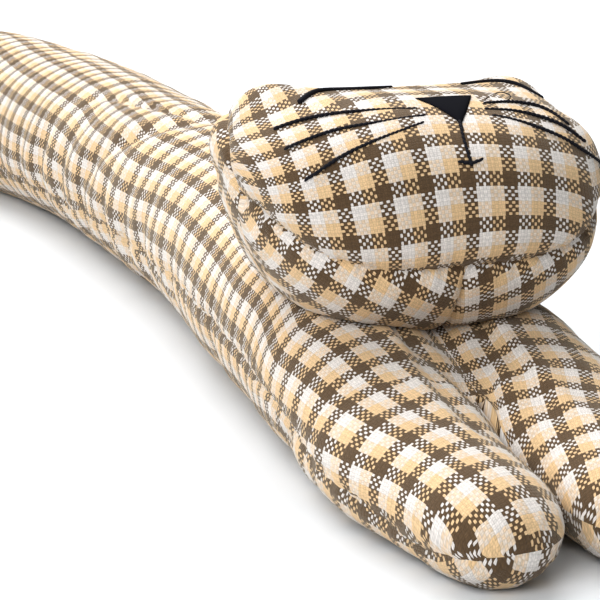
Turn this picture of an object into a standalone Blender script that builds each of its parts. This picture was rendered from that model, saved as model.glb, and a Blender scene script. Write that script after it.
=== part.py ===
"""Draught excluder in the shape of a lying cat: a long filled cloth body with two forelegs,
a wide cushion head and a sewn-on nose.

Metres, +Z up. X runs along the body with the paws at +X, and the floor is Z = 0.
The origin lies on the floor under the middle of the whole thing's box.
"""
import math

import bmesh
import bpy
import numpy as np

MM = 0.001

# Overall places, in millimetres
PAW_TIP_X = 425.2           # foremost point of the paws
BODY_LENGTH = 846.0         # from the paws back to the rump, measured along X
SIDE_SHIFT = 26.17          # moves the head's middle plane to its place in the box
CROTCH_REACH = 97.0         # where the two forelegs part, behind the paw tips
PAW_ROUND = 30.0            # length over which a paw rounds off
RUMP_ROUND = 52.0           # length over which the rump rounds off
LEG_GAP = 0.5               # half of the gap between the forelegs at their root
FLAT_DEPTH = 2.6            # how far the soft underside is pressed flat
SEAT_GAP = 0.6              # room between head and body

# The body from the paws backwards. Every row is a section across it, in millimetres:
# reach behind the paw tips, sideways place of the middle, offset of each lobe from the
# middle, half width of a lobe, height of the top.
BODY_COLUMNS = ("reach", "middle", "lobe", "half_width", "height")
BODY_SECTIONS = (
    (0.0, -6.0, 27.0, 24.0, 34.0),
    (18.0, -6.0, 27.5, 25.5, 36.5),
    (38.0, -5.5, 28.8, 27.4, 39.5),
    (78.0, -5.0, 32.8, 32.2, 43.5),
    (108.0, -3.5, 33.0, 34.0, 50.0),
    (132.0, -3.0, 31.5, 33.6, 56.0),
    (158.0, -3.0, 29.5, 34.5, 62.0),
    (188.0, -3.0, 24.5, 38.0, 69.0),
    (224.0, -5.0, 17.5, 41.5, 74.0),
    (258.0, -6.5, 12.0, 44.0, 79.0),
    (294.0, -8.0, 6.0, 45.0, 84.0),
    (343.0, -8.5, 0.0, 46.0, 87.0),
    (413.0, -7.5, 0.0, 45.5, 87.0),
    (478.0, -9.0, 0.0, 45.5, 87.0),
    (553.0, -12.5, 0.0, 46.0, 88.0),
    (623.0, -23.0, 0.0, 46.5, 88.0),
    (678.0, -36.0, 0.0, 46.5, 88.0),
    (756.0, -62.0, 0.0, 46.0, 87.0),
    (846.0, -104.0, 0.0, 45.0, 85.0),
)

# Folds pressed into the body. Every row is a trough running round it, in millimetres and
# degrees: reach where it starts, reach where it ends, angle where it starts, angle where it
# ends, depth, half width. Angles count from the outer side up to the top, and left of the
# cat's middle they are on the side that lies nearer the viewer.
FOLD_COLUMNS = ("reach_from", "reach_to", "angle_from", "angle_to", "depth", "half_width")
LEFT_FOLDS = (
    (398.0, 452.0, 78.0, 18.0, 4.5, 11.0),
    (405.0, 500.0, 88.0, 62.0, 3.5, 10.0),
    (352.0, 372.0, 20.0, -45.0, 2.4, 9.0),
    (385.0, 402.0, 25.0, -50.0, 2.2, 9.0),
    (418.0, 440.0, 28.0, -50.0, 2.6, 9.0),
    (452.0, 478.0, 34.0, -45.0, 3.0, 9.0),
    (486.0, 512.0, 40.0, -45.0, 2.6, 9.0),
    (522.0, 548.0, 42.0, -40.0, 3.2, 10.0),
    (560.0, 580.0, 30.0, -45.0, 2.2, 9.0),
    (596.0, 610.0, 24.0, -40.0, 2.0, 9.0),
    (110.0, 150.0, 5.0, -40.0, 1.8, 9.0),
    (226.0, 240.0, 10.0, -40.0, 1.6, 9.0),
    (300.0, 312.0, 12.0, -40.0, 1.8, 9.0),
)
RIGHT_FOLDS = (
    (392.0, 428.0, 80.0, 10.0, 4.0, 11.0),
    (452.0, 466.0, 40.0, -40.0, 2.2, 10.0),
    (520.0, 530.0, 40.0, -40.0, 2.0, 10.0),
    (604.0, 600.0, 40.0, -40.0, 2.0, 10.0),
    (690.0, 676.0, 40.0, -40.0, 2.2, 10.0),
)

# Head, as a boxy cushion round its own middle, in millimetres. A power of 2 gives an
# ellipse and a higher one a boxier form.
HEAD_REACH = 173.0          # middle of the head, behind the paw tips
HEAD_SIDE = 1.5             # sideways place of that middle
HEAD_Z = 98.5
HEAD_TURN = 2.0             # degrees that the face turns towards the viewer
HEAD_FRONT = 60.5
HEAD_BACK = 60.0
HEAD_HALF_WIDTH = 73.0
HEAD_UP = 41.5
HEAD_DOWN = 52.5
BROW_POWER = 2.8            # profile of the upper front
CHIN_POWER = 2.4            # profile of the lower front
CROWN_POWER = 1.4           # profile of the upper back
NAPE_POWER = 5.5            # profile of the lower back
LEFT_POWER = 3.0            # roundness of the upper end that lies nearer the viewer
RIGHT_POWER = 2.35          # roundness of the upper end that lies further away
JAW_POWER = 2.8             # from side to side, low down
LEFT_LEAN = 0.18            # wider at the crown than at the jaw
RIGHT_LEAN = 0.09
BACK_LEAN = 0.37            # reaches further back at the crown
LEAN_HEIGHT = 45.0
EAR_COLUMNS = ("back", "sideways", "rise")
EARS = (
    (15.0, -64.5, 10.6),
    (30.0, 54.7, 11.4),
)
EAR_RADIUS = 13.3           # of the two soft corners that stand for ears
SEAM_DEPTH = 2.2            # groove where two panels meet
SEAM_HALF_WIDTH = 4.5
CHIN_SEAM_Z = -17.5         # lower edge of the face panel, from the head's middle
CHIN_SEAM_RISE = 24.0
CHIN_SEAM_SPAN = 75.0
SIDE_SEAM_X = 3.0           # side edge of the face panel, from the head's middle
SIDE_SEAM_Z = 11.0
SIDE_SEAM_SLOPE = 0.1
SEAM_CORNER = 8.0           # rounding where the two edges meet

# Nose: a small cloth triangle, from the head's middle, in millimetres
NOSE_TOP = (21.0, 41.0)     # forward and up, of the top edge
NOSE_TIP = (42.5, 34.0)
NOSE_SIDE = 4.4             # sideways, of the middle of the top edge
NOSE_TIP_SIDE = 2.1         # sideways, of the tip
NOSE_HALF_WIDTH = 10.5
NOSE_THICKNESS = 0.9
NOSE_GAP = 0.4              # room between nose and head

# Mesh steps
STATION_STEP = 9.0
SIDE_STEPS = 16
WALL_STEPS = 3
HEAD_CUTS = 13
NOSE_STEPS = 6

BODY_COLOUR = (0.62, 0.47, 0.33, 1.0)
HEAD_COLOUR = (0.66, 0.50, 0.35, 1.0)
NOSE_COLOUR = (0.012, 0.013, 0.020, 1.0)


def clear_scene():
    for item in list(bpy.data.objects):
        bpy.data.objects.remove(item, do_unlink=True)


def make_material(name, colour, roughness):
    material = bpy.data.materials.new(name)
    material.use_nodes = True
    shader = material.node_tree.nodes["Principled BSDF"]
    shader.inputs["Base Color"].default_value = colour
    shader.inputs["Roughness"].default_value = roughness
    shader.inputs["Metallic"].default_value = 0.0
    return material


def add_object(name, bm, material):
    bmesh.ops.recalc_face_normals(bm, faces=bm.faces)
    mesh = bpy.data.meshes.new(name)
    bm.to_mesh(mesh)
    bm.free()
    mesh.shade_smooth()
    if material:
        mesh.materials.append(material)
    item = bpy.data.objects.new(name, mesh)
    bpy.context.scene.collection.objects.link(item)
    return item


def smooth_table(position, positions, values):
    """Value at a position, on a smooth curve through the table's rows."""
    positions = np.asarray(positions)
    values = np.asarray(values)
    slopes = np.gradient(values, positions)
    row = int(np.clip(np.searchsorted(positions, position) - 1, 0, len(positions) - 2))
    width = positions[row + 1] - positions[row]
    t = (position - positions[row]) / width
    ease = t * t * (3.0 - 2.0 * t)
    bend_from = width * slopes[row] * t * (1.0 - t) ** 2
    bend_to = width * slopes[row + 1] * t * t * (t - 1.0)
    return values[row] * (1.0 - ease) + values[row + 1] * ease + bend_from + bend_to


def body_value(column, reach):
    index = BODY_COLUMNS.index(column)
    reaches = [row[0] for row in BODY_SECTIONS]
    return smooth_table(reach, reaches, [row[index] for row in BODY_SECTIONS])


def end_rounding(reach):
    """Share of the full section that is left near the paw tips and near the rump."""
    share = 1.0
    if reach < PAW_ROUND:
        share = (1.0 - (1.0 - reach / PAW_ROUND) ** 2.4) ** (1.0 / 2.4)
    left_over = BODY_LENGTH - reach
    if left_over < RUMP_ROUND:
        share = (1.0 - (1.0 - left_over / RUMP_ROUND) ** 2.2) ** (1.0 / 2.2)
    return max(share, 0.0)


def fold_depth(folds, reach, angle):
    """Depth of all troughs at one point of the body's surface."""
    total = 0.0
    for reach_from, reach_to, angle_from, angle_to, depth, half_width in folds:
        along = np.clip((angle - angle_from) / (angle_to - angle_from), 0.0, 1.0)
        overrun = abs(angle - (angle_from + along * (angle_to - angle_from))) / 14.0
        across = (reach - reach_from - along * (reach_to - reach_from)) / half_width
        fade = 0.35 + 0.65 * math.sin(math.pi * min(max(along, 0.12), 0.88))
        total += depth * fade * math.exp(-across * across - overrun * overrun)
    return total


def body_frame(reach):
    """Middle point of a section on the floor, and the direction to the cat's left."""
    step = 1.0
    middle = body_value("middle", reach)
    slope = (body_value("middle", reach + step) - body_value("middle", reach - step)) / (2.0 * step)
    length = math.hypot(1.0, slope)
    return (PAW_TIP_X - reach, middle), (slope / length, 1.0 / length)


def body_sweep(reach, extra):
    """Angle, from the outer side, at which a lobe meets the middle plane."""
    lobe = body_value("lobe", reach)
    half_width = body_value("half_width", reach) + extra
    return math.acos(-min(lobe / half_width, 1.0))


def body_point(reach, side, angle, extra):
    """Point of the body's surface, with side -1 or 1 and the angle in radians."""
    share = end_rounding(reach)
    lobe = body_value("lobe", reach)
    half_width = body_value("half_width", reach)
    height = body_value("height", reach)
    if reach < CROTCH_REACH:
        half_width = min(half_width, lobe - LEG_GAP)
    across = half_width * share + extra
    up = height / 2.0 * share + extra
    centre_z = height / 2.0
    if angle < 0.0:
        up += FLAT_DEPTH * share
    folds = LEFT_FOLDS if side < 0 else RIGHT_FOLDS
    sunk = fold_depth(folds, reach, math.degrees(angle)) * share
    normal = np.array([math.cos(angle) / max(across, 1.0), math.sin(angle) / max(up, 1.0)])
    normal = normal / np.linalg.norm(normal)
    lateral = lobe + across * math.cos(angle) - sunk * normal[0]
    z = centre_z + up * math.sin(angle) - sunk * normal[1]
    z = max(z, -extra)
    (middle_x, middle_y), (left_x, left_y) = body_frame(reach)
    x = middle_x + side * lateral * left_x
    y = middle_y + side * lateral * left_y
    return np.array([x, y + SIDE_SHIFT, z]) * MM


def body_stations():
    """Reaches of all sections, close together where an end rounds off."""
    paw = [PAW_ROUND * (1.0 - math.cos(math.radians(a))) for a in (22, 38, 52, 64, 77, 90)]
    rump = [BODY_LENGTH - RUMP_ROUND * (1.0 - math.cos(math.radians(a))) for a in (90, 76, 62, 48, 34, 20)]
    legs = np.linspace(PAW_ROUND, CROTCH_REACH, round((CROTCH_REACH - PAW_ROUND) / STATION_STEP) + 1)
    trunk_length = rump[0] - CROTCH_REACH
    trunk = np.linspace(CROTCH_REACH, rump[0], round(trunk_length / STATION_STEP) + 1)
    return paw[:-1] + list(legs), list(trunk[1:]) + rump[1:]


def join_rings(bm, ring_a, ring_b):
    for (a, b), (c, d) in zip(zip(ring_a, ring_a[1:]), zip(ring_b, ring_b[1:])):
        bm.faces.new((a, b, d, c))


def cap_ring(bm, ring, tip):
    for a, b in zip(ring, ring[1:]):
        bm.faces.new((a, b, tip))


def body_mesh(extra=0.0):
    """Closed mesh of trunk and forelegs, grown by extra millimetres."""
    bm = bmesh.new()
    leg_reaches, trunk_reaches = body_stations()
    crotch = leg_reaches[-1]
    crotch_sweep = body_sweep(crotch, extra)
    angles_at = lambda sweep: [sweep * (2.0 * k / SIDE_STEPS - 1.0) for k in range(SIDE_STEPS + 1)]
    new_vert = lambda point: bm.verts.new(tuple(point))

    def trunk_ring(reach):
        """Shared bottom and top points, and the points of each side between them."""
        angles = angles_at(body_sweep(reach, extra))
        sides = {side: [body_point(reach, side, a, extra) for a in angles] for side in (-1, 1)}
        bottom = new_vert((sides[-1][0] + sides[1][0]) / 2.0)
        top = new_vert((sides[-1][-1] + sides[1][-1]) / 2.0)
        return {side: [bottom] + [new_vert(p) for p in sides[side][1:-1]] + [top] for side in (-1, 1)}

    def leg_ring(reach, side):
        """All points round one leg, the first one repeated at the end."""
        outer = [new_vert(body_point(reach, side, a, extra)) for a in angles_at(crotch_sweep)]
        wall = []
        for k in range(1, WALL_STEPS):
            a = crotch_sweep + (2.0 * math.pi - 2.0 * crotch_sweep) * k / WALL_STEPS
            wall.append(new_vert(body_point(reach, side, math.atan2(math.sin(a), math.cos(a)), extra)))
        return outer + wall + [outer[0]]

    crotch_ring = trunk_ring(crotch)
    top, bottom = crotch_ring[1][-1], crotch_ring[1][0]
    seam = [new_vert(top.co.lerp(bottom.co, k / WALL_STEPS)) for k in range(1, WALL_STEPS)]
    for side in (-1, 1):
        rings = [leg_ring(reach, side) for reach in leg_reaches[:-1]]
        tip_z = body_value("height", 0.0) / 2.0 * MM
        tip_x = PAW_TIP_X * MM + extra * MM
        tip_y = (body_value("middle", 0.0) + side * body_value("lobe", 0.0) + SIDE_SHIFT) * MM
        cap_ring(bm, rings[0], new_vert((tip_x, tip_y, tip_z)))
        rings.append(crotch_ring[side] + seam + [bottom])
        for ring_a, ring_b in zip(rings, rings[1:]):
            join_rings(bm, ring_a, ring_b)
    rings = [crotch_ring] + [trunk_ring(reach) for reach in trunk_reaches]
    for ring_a, ring_b in zip(rings, rings[1:]):
        for side in (-1, 1):
            join_rings(bm, ring_a[side], ring_b[side])
    (end_x, end_y), (left_x, left_y) = body_frame(BODY_LENGTH)
    end_z = body_value("height", BODY_LENGTH) / 2.0
    end = np.array([end_x - extra * left_y, end_y + SIDE_SHIFT + extra * left_x, end_z]) * MM
    last = rings[-1]
    cap_ring(bm, last[-1] + last[1][-2::-1], new_vert(end))
    return bm


def ease(value, low, high):
    t = np.clip((value - low) / (high - low), 0.0, 1.0)
    return t * t * (3.0 - 2.0 * t)


def head_seam_distance(point):
    """Signed distance, in millimetres, to the edge of the face panel."""
    forward, left, up = point
    chin_edge = CHIN_SEAM_Z + CHIN_SEAM_RISE * (left / CHIN_SEAM_SPAN) ** 4
    above_chin = up - chin_edge
    side_edge = SIDE_SEAM_X - SIDE_SEAM_SLOPE * (up - SIDE_SEAM_Z)
    before_side = forward - side_edge
    blend = np.clip(0.5 + (above_chin - before_side) / (2.0 * SEAM_CORNER), 0.0, 1.0)
    mixed = above_chin * (1.0 - blend) + before_side * blend
    return mixed - SEAM_CORNER * blend * (1.0 - blend)


def mix(low, high, share):
    return low + (high - low) * share


def head_form(direction):
    """Point of the plain cushion's surface, from the head's middle, in millimetres."""
    d = np.asarray(direction, float)
    d = d / np.linalg.norm(d)
    upper = ease(d[2], -0.35, 0.5)
    front_power = mix(CHIN_POWER, BROW_POWER, upper)
    back_power = mix(NAPE_POWER, CROWN_POWER, upper)
    profile_power = mix(back_power, front_power, ease(d[0], -0.4, 0.4))
    end_power = mix(LEFT_POWER, RIGHT_POWER, ease(d[1], -0.5, 0.5))
    width_power = mix(JAW_POWER, end_power, upper)
    forward = abs(d[0]) / (HEAD_FRONT if d[0] > 0.0 else HEAD_BACK)
    up = abs(d[2]) / (HEAD_UP if d[2] > 0.0 else HEAD_DOWN)
    profile = (forward ** profile_power + up ** profile_power) ** (1.0 / profile_power)
    sideways = abs(d[1]) / HEAD_HALF_WIDTH
    x, y, z = d / (profile ** width_power + sideways ** width_power) ** (1.0 / width_power)
    lean = z / LEAN_HEIGHT
    y = y * (1.0 + lean * mix(LEFT_LEAN, RIGHT_LEAN, ease(y, -20.0, 20.0)))
    if x < 0.0:
        x = x * (1.0 + BACK_LEAN * lean)
    for back, side, rise in EARS:
        if z > 0.0:
            from_ear = (x + back) ** 2 + (y - side) ** 2
            z = z + rise * math.exp(-from_ear / (2.0 * EAR_RADIUS ** 2))
    return np.array([x, y, z])


def head_point(direction):
    """Point of the head's surface, with its seams drawn in."""
    point = head_form(direction)
    inward = point / np.linalg.norm(point)
    groove = math.exp(-(head_seam_distance(point) / SEAM_HALF_WIDTH) ** 2)
    below = ease(-head_seam_distance(point), 0.0, 6.0)
    middle = math.exp(-(point[1] / SEAM_HALF_WIDTH) ** 2) * below
    return point - inward * SEAM_DEPTH * (groove + 0.7 * middle)


def head_place(point):
    """Millimetres from the head's middle to a place in the world, in metres."""
    turn = math.radians(HEAD_TURN)
    x = point[0] * math.cos(turn) + point[1] * math.sin(turn) + PAW_TIP_X - HEAD_REACH
    y = point[1] * math.cos(turn) - point[0] * math.sin(turn) + SIDE_SHIFT + HEAD_SIDE
    return (x * MM, y * MM, (point[2] + HEAD_Z) * MM)


def head_mesh():
    """Closed cushion, from a cube whose points are pushed out to the head's surface."""
    bm = bmesh.new()
    bmesh.ops.create_cube(bm, size=2.0)
    bmesh.ops.subdivide_edges(bm, edges=bm.edges, cuts=HEAD_CUTS, use_grid_fill=True)
    for vert in bm.verts:
        direction = [math.tan(c * math.pi / 4.0) for c in vert.co]
        vert.co = head_place(head_point(direction))
    return bm


def nose_mesh():
    """Thin triangle that follows the head's surface."""
    bm = bmesh.new()
    corners = (
        np.array([NOSE_TOP[0], NOSE_SIDE - NOSE_HALF_WIDTH, NOSE_TOP[1]]),
        np.array([NOSE_TOP[0], NOSE_SIDE + NOSE_HALF_WIDTH, NOSE_TOP[1]]),
        np.array([NOSE_TIP[0], NOSE_TIP_SIDE, NOSE_TIP[1]]),
    )
    layers = []
    for lift in (NOSE_GAP, NOSE_GAP + NOSE_THICKNESS):
        layer = {}
        for a in range(NOSE_STEPS + 1):
            for b in range(NOSE_STEPS + 1 - a):
                c = NOSE_STEPS - a - b
                flat = (a * corners[0] + b * corners[1] + c * corners[2]) / NOSE_STEPS
                raised = head_point(flat) * (1.0 + lift / np.linalg.norm(flat))
                layer[a, b] = bm.verts.new(head_place(raised))
        layers.append(layer)
    for layer in layers:
        for a in range(NOSE_STEPS):
            for b in range(NOSE_STEPS - a):
                bm.faces.new((layer[a, b], layer[a + 1, b], layer[a, b + 1]))
                if a + b < NOSE_STEPS - 1:
                    bm.faces.new((layer[a + 1, b], layer[a + 1, b + 1], layer[a, b + 1]))
    n = NOSE_STEPS
    edges = [(k, 0) for k in range(n)] + [(n - k, k) for k in range(n)] + [(0, n - k) for k in range(n)]
    for here, after in zip(edges, edges[1:] + edges[:1]):
        bm.faces.new((layers[0][here], layers[0][after], layers[1][after], layers[1][here]))
    return bm


def build_body():
    return add_object("body", body_mesh(), make_material("checked_cloth_body", BODY_COLOUR, 0.9))


def build_head():
    """The head, dented underneath where it lies on the body."""
    head = add_object("head", head_mesh(), make_material("checked_cloth_head", HEAD_COLOUR, 0.9))
    seat = add_object("seat_of_head", body_mesh(SEAT_GAP), None)
    seat.hide_render = True
    seat.display_type = "WIRE"
    dent = head.modifiers.new("dent", "BOOLEAN")
    dent.operation = "DIFFERENCE"
    dent.solver = "EXACT"
    dent.object = seat
    return head


def build_nose():
    nose = add_object("nose", nose_mesh(), make_material("dark_satin", NOSE_COLOUR, 0.45))
    nose.data.set_sharp_from_angle(angle=math.radians(40.0))
    return nose


clear_scene()
build_body()
build_head()
build_nose()
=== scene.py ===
"""Draught excluder in the shape of a lying cat, sewn from woven check cloth: trunk with two
forelegs, cushion head, satin nose, and eyes, whiskers and mouth in black thread."""
import math

import bmesh
import bpy
import numpy as np
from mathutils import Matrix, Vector, noise


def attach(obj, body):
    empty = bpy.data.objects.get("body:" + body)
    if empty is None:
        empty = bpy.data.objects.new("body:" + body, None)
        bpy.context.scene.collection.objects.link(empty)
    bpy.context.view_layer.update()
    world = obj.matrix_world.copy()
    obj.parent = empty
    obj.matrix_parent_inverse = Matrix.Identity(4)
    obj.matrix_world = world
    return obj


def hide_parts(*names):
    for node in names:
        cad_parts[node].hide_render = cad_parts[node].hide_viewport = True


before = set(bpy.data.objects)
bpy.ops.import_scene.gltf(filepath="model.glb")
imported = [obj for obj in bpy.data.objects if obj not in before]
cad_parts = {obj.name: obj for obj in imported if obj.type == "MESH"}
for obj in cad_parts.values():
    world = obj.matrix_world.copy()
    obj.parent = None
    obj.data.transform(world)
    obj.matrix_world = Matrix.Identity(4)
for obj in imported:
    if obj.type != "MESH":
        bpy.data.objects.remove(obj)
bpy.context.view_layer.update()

bl_info = {
    "name": "Cat Draught Excluder",
    "version": (1, 0, 0),
    "blender": (4, 5, 0),
    "location": "3D View > Sidebar > Cat",
    "description": "Dresses the frame of a cat draught excluder in woven check cloth",
    "category": "Mesh",
}

MM = 0.001

# Overall places, in millimetres, as the frame has them
PAW_TIP_X = 425.2
BODY_LENGTH = 846.0
SIDE_SHIFT = 26.17
CROTCH_REACH = 97.0
PAW_ROUND = 30.0
RUMP_ROUND = 52.0
PAW_POWER = 2.4
RUMP_POWER = 2.2
LEG_GAP = 0.5
CLOSED_GAP = 0.12
GAP_CLOSES = (55.0, 75.0)
FLAT_DEPTH = 2.6
SEAT_GAP = 0.7

# The body from the paws backwards, a section in every row, in millimetres
BODY_COLUMNS = ("reach", "middle", "lobe", "half_width", "height")
BODY_SECTIONS = (
    (0.0, -6.0, 27.0, 24.0, 34.0),
    (18.0, -6.0, 27.5, 25.5, 36.5),
    (38.0, -5.5, 28.8, 27.4, 39.5),
    (78.0, -5.0, 32.8, 32.2, 43.5),
    (108.0, -3.5, 33.0, 34.0, 50.0),
    (132.0, -3.0, 31.5, 33.6, 56.0),
    (158.0, -3.0, 29.5, 34.5, 62.0),
    (188.0, -3.0, 24.5, 38.0, 69.0),
    (224.0, -5.0, 17.5, 41.5, 74.0),
    (258.0, -6.5, 12.0, 44.0, 79.0),
    (294.0, -8.0, 6.0, 45.0, 84.0),
    (343.0, -8.5, 0.0, 46.0, 87.0),
    (413.0, -7.5, 0.0, 45.5, 87.0),
    (478.0, -9.0, 0.0, 45.5, 87.0),
    (553.0, -12.5, 0.0, 46.0, 88.0),
    (623.0, -23.0, 0.0, 46.5, 88.0),
    (678.0, -36.0, 0.0, 46.5, 88.0),
    (756.0, -62.0, 0.0, 46.0, 87.0),
    (846.0, -104.0, 0.0, 45.0, 85.0),
)

# Troughs pressed into the body, in millimetres and degrees
FOLD_COLUMNS = ("reach_from", "reach_to", "angle_from", "angle_to", "depth", "half_width")
LEFT_FOLDS = (
    (398.0, 452.0, 78.0, 18.0, 4.5, 11.0),
    (405.0, 500.0, 88.0, 62.0, 3.5, 10.0),
    (352.0, 372.0, 20.0, -45.0, 2.4, 9.0),
    (385.0, 402.0, 25.0, -50.0, 2.2, 9.0),
    (418.0, 440.0, 28.0, -50.0, 2.6, 9.0),
    (452.0, 478.0, 34.0, -45.0, 3.0, 9.0),
    (486.0, 512.0, 40.0, -45.0, 2.6, 9.0),
    (522.0, 548.0, 42.0, -40.0, 3.2, 10.0),
    (560.0, 580.0, 30.0, -45.0, 2.2, 9.0),
    (596.0, 610.0, 24.0, -40.0, 2.0, 9.0),
    (110.0, 150.0, 5.0, -40.0, 1.8, 9.0),
    (226.0, 240.0, 10.0, -40.0, 1.6, 9.0),
    (300.0, 312.0, 12.0, -40.0, 1.8, 9.0),
)
RIGHT_FOLDS = (
    (392.0, 428.0, 80.0, 10.0, 4.0, 11.0),
    (452.0, 466.0, 40.0, -40.0, 2.2, 10.0),
    (520.0, 530.0, 40.0, -40.0, 2.0, 10.0),
    (604.0, 600.0, 40.0, -40.0, 2.0, 10.0),
    (690.0, 676.0, 40.0, -40.0, 2.2, 10.0),
)

FOLD_OVERRUN = 14.0
FOLD_FAINTEST = 0.35
FOLD_ENDS = (0.12, 0.88)

# Where the seam between top and underside runs: reach in millimetres, angle in degrees
SEAM_LINE = (
    (0.0, -8.0),
    (28.0, -18.0),
    (52.0, -10.0),
    (77.0, -4.0),
    (101.0, -2.0),
    (131.0, 0.0),
    (161.0, 0.0),
    (210.0, 0.0),
    (268.0, -1.0),
    (294.0, -5.0),
    (343.0, -13.0),
    (407.0, -16.0),
    (472.0, -20.0),
    (510.0, -23.0),
    (846.0, -25.0),
)
# How full the inner upper quarter of a lobe is, where cloth spans the forelegs
WEB_FULLNESS = (
    (0.0, 2.0),
    (46.0, 2.0),
    (72.0, 2.4),
    (98.0, 2.6),
    (158.0, 2.7),
    (230.0, 2.3),
    (300.0, 2.0),
    (846.0, 2.0),
)
TROUGH_RADIUS = 4.5
TROUGH_STARTS = (58.0, 92.0)
TROUGH_ENDS = (200.0, 260.0)

# Groove, puckers and gathers along the side seam, in millimetres
SEAM_ARM = 4.0
GROOVE_DEPTH = 1.3
GROOVE_WIDTH = 1.5
PUCKER_PITCH = 6.3
PUCKER_DRIFT = 1.3
PUCKER_DRIFT_RATE = 0.21
PUCKER_WIDTHS = (6.0, 10.0)
PUCKERS_WIDEN = (240.0, 340.0)
GATHER_REACH = 13.0
GATHER_DEPTH = 1.0
GATHERS = 13.0

# Ridge along the inner top of each leg, with a furrow inside it
RIDGE_STARTS = (45.0, 65.0)
RIDGE_ENDS = (120.0, 150.0)
RIDGE_ANGLE = 106.0
RIDGE_RISE = 1.5
RIDGE_WIDTH = 3.0
FURROW_SHARE = 0.8
FURROW_PLACE = 7.0
FURROW_WIDTH = 3.5

# Folds that run back and outwards from the place where the forelegs part
PARTING_REACH = 62.0
WEB_FOLD_RUN = 90.0
WEB_FOLD_SPAN = 22.0
WEB_FOLD_DEPTH = 2.2
WEB_FOLD_WIDTH = 12.0
WEB_FOLD_STARTS = (56.0, 76.0)
WEB_FOLD_FADES = (18.0, 26.0)

# Fine unevenness of the stuffed cloth: height in millimetres, noise steps per millimetre
WRINKLE_COLUMNS = ("height", "by_x", "by_y", "by_z", "start")
WRINKLES = (
    (0.9, 0.035, 0.05, 0.05, 7.0),
    (0.45, 0.11, 0.05, 0.045, 3.0),
)

# How far the cloth's grain is turned outwards on each side, in degrees
GRAIN_TURN = (
    (0.0, 16.0),
    (97.0, 15.0),
    (160.0, 11.0),
    (250.0, 6.0),
    (343.0, 0.0),
    (846.0, 0.0),
)
LEG_GRAIN_TURN = 15.0
LEG_GRAIN_START = math.pi - 0.15
ARC_STEPS = 24

DRAPE_COLUMNS = ("along", "stripe", "fourth")
BODY_DRAPE = (
    (-16.0, -7.0, 4.10),
    (-10.8, 0.0, 3.94),
    (-8.5, 3.0, 3.78),
    (-6.3, 6.0, 3.62),
    (-4.8, 7.25, 3.60),
    (-3.2, 9.0, 3.82),
    (-0.5, 12.25, 3.86),
    (1.4, 14.0, 3.99),
    (2.7, 15.1, 4.00),
    (5.8, 18.0, 3.76),
    (9.0, 21.0, 3.72),
    (11.45, 24.0, 3.80),
    (13.4, 27.0, 3.97),
    (15.4, 30.0, 4.11),
    (16.5, 32.0, 4.46),
    (17.2, 33.0, 4.64),
    (18.05, 34.0, 4.56),
    (20.0, 36.0, 4.33),
    (23.2, 39.0, 4.31),
    (25.3, 41.0, 4.54),
    (27.3, 43.0, 4.58),
)
FOURTH_STRIPE = 4.0
# The middle of a brown stripe, and where stripes along begin to shift, all in repeats
STRIPE_MIDDLE = 1.0 / 6.0
SHIFT_STARTS = (0.0, 2.5)
LEG_SHIFT_STARTS = (16.5, 19.0)
UNDERSIDE_SHIFT = (0.37, 0.61)

# Head, as a boxy cushion round its own middle, in millimetres
HEAD_REACH = 173.0
HEAD_SIDE = 1.5
HEAD_Z = 98.5
HEAD_TURN = 2.0
HEAD_FRONT = 60.5
HEAD_BACK = 60.0
HEAD_HALF_WIDTH = 73.0
HEAD_UP = 41.5
HEAD_DOWN = 52.5
BROW_POWER = 2.8
CHIN_POWER = 2.4
CROWN_POWER = 1.4
NAPE_POWER = 5.5
LEFT_POWER = 3.0
RIGHT_POWER = 2.35
JAW_POWER = 2.8
LEFT_LEAN = 0.18
RIGHT_LEAN = 0.09
BACK_LEAN = 0.37
LEAN_HEIGHT = 45.0
UPPER_SPAN = (-0.35, 0.5)
FRONT_SPAN = (-0.4, 0.4)
LEFT_SPAN = (-0.5, 0.5)
LEAN_SPAN = (-20.0, 20.0)
EAR_COLUMNS = ("back", "side", "rise")
EARS = (
    (15.0, -61.5, 8.9),
    (30.0, 54.7, 12.8),
)
EAR_RADIUS = 15.0
CHIN_SEAM_Z = -17.5
CHIN_SEAM_RISE = 24.0
CHIN_SEAM_SPAN = 75.0
SIDE_SEAM_X = 3.0
SIDE_SEAM_Z = 11.0
SIDE_SEAM_SLOPE = 0.1
SEAM_CORNER = 8.0
CROWN_SEAM_Z = 18.0
CROWN_SEAM_BEND = 0.10
CROWN_ENDS = (42.0, 62.0)
CROWN_RIM = (8.0, 20.0)
CROWN_SEAM_RUN = 75.0

# Creases of the head's seams: depth and half width in millimetres
CREASE_COLUMNS = ("depth", "width")
PANEL_CREASES = (
    (2.0, 1.5),
    (1.9, 5.5),
)
CHIN_CREASES = (
    (2.0, 1.3),
    (1.0, 6.0),
)
CHIN_CREASE_STARTS = (0.0, 6.0)
HEAD_PUCKER_PITCH = 6.1
HEAD_PUCKER_DRIFT = 1.5
HEAD_PUCKER_DRIFT_RATE = 0.4
HEAD_PUCKER_WIDTH = 6.0
HEAD_WRINKLE_SCALE = 0.8
HEAD_WRINKLE_START = 50.0

# Tucks that radiate where the panels meet at each end of the head
TUCK_X = 27.0
TUCK_Y = 68.0
TUCK_Z = 0.0
TUCK_RADIUS = 12.0
TUCK_DEPTH = 2.0
TUCK_RAYS = 7.0

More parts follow.
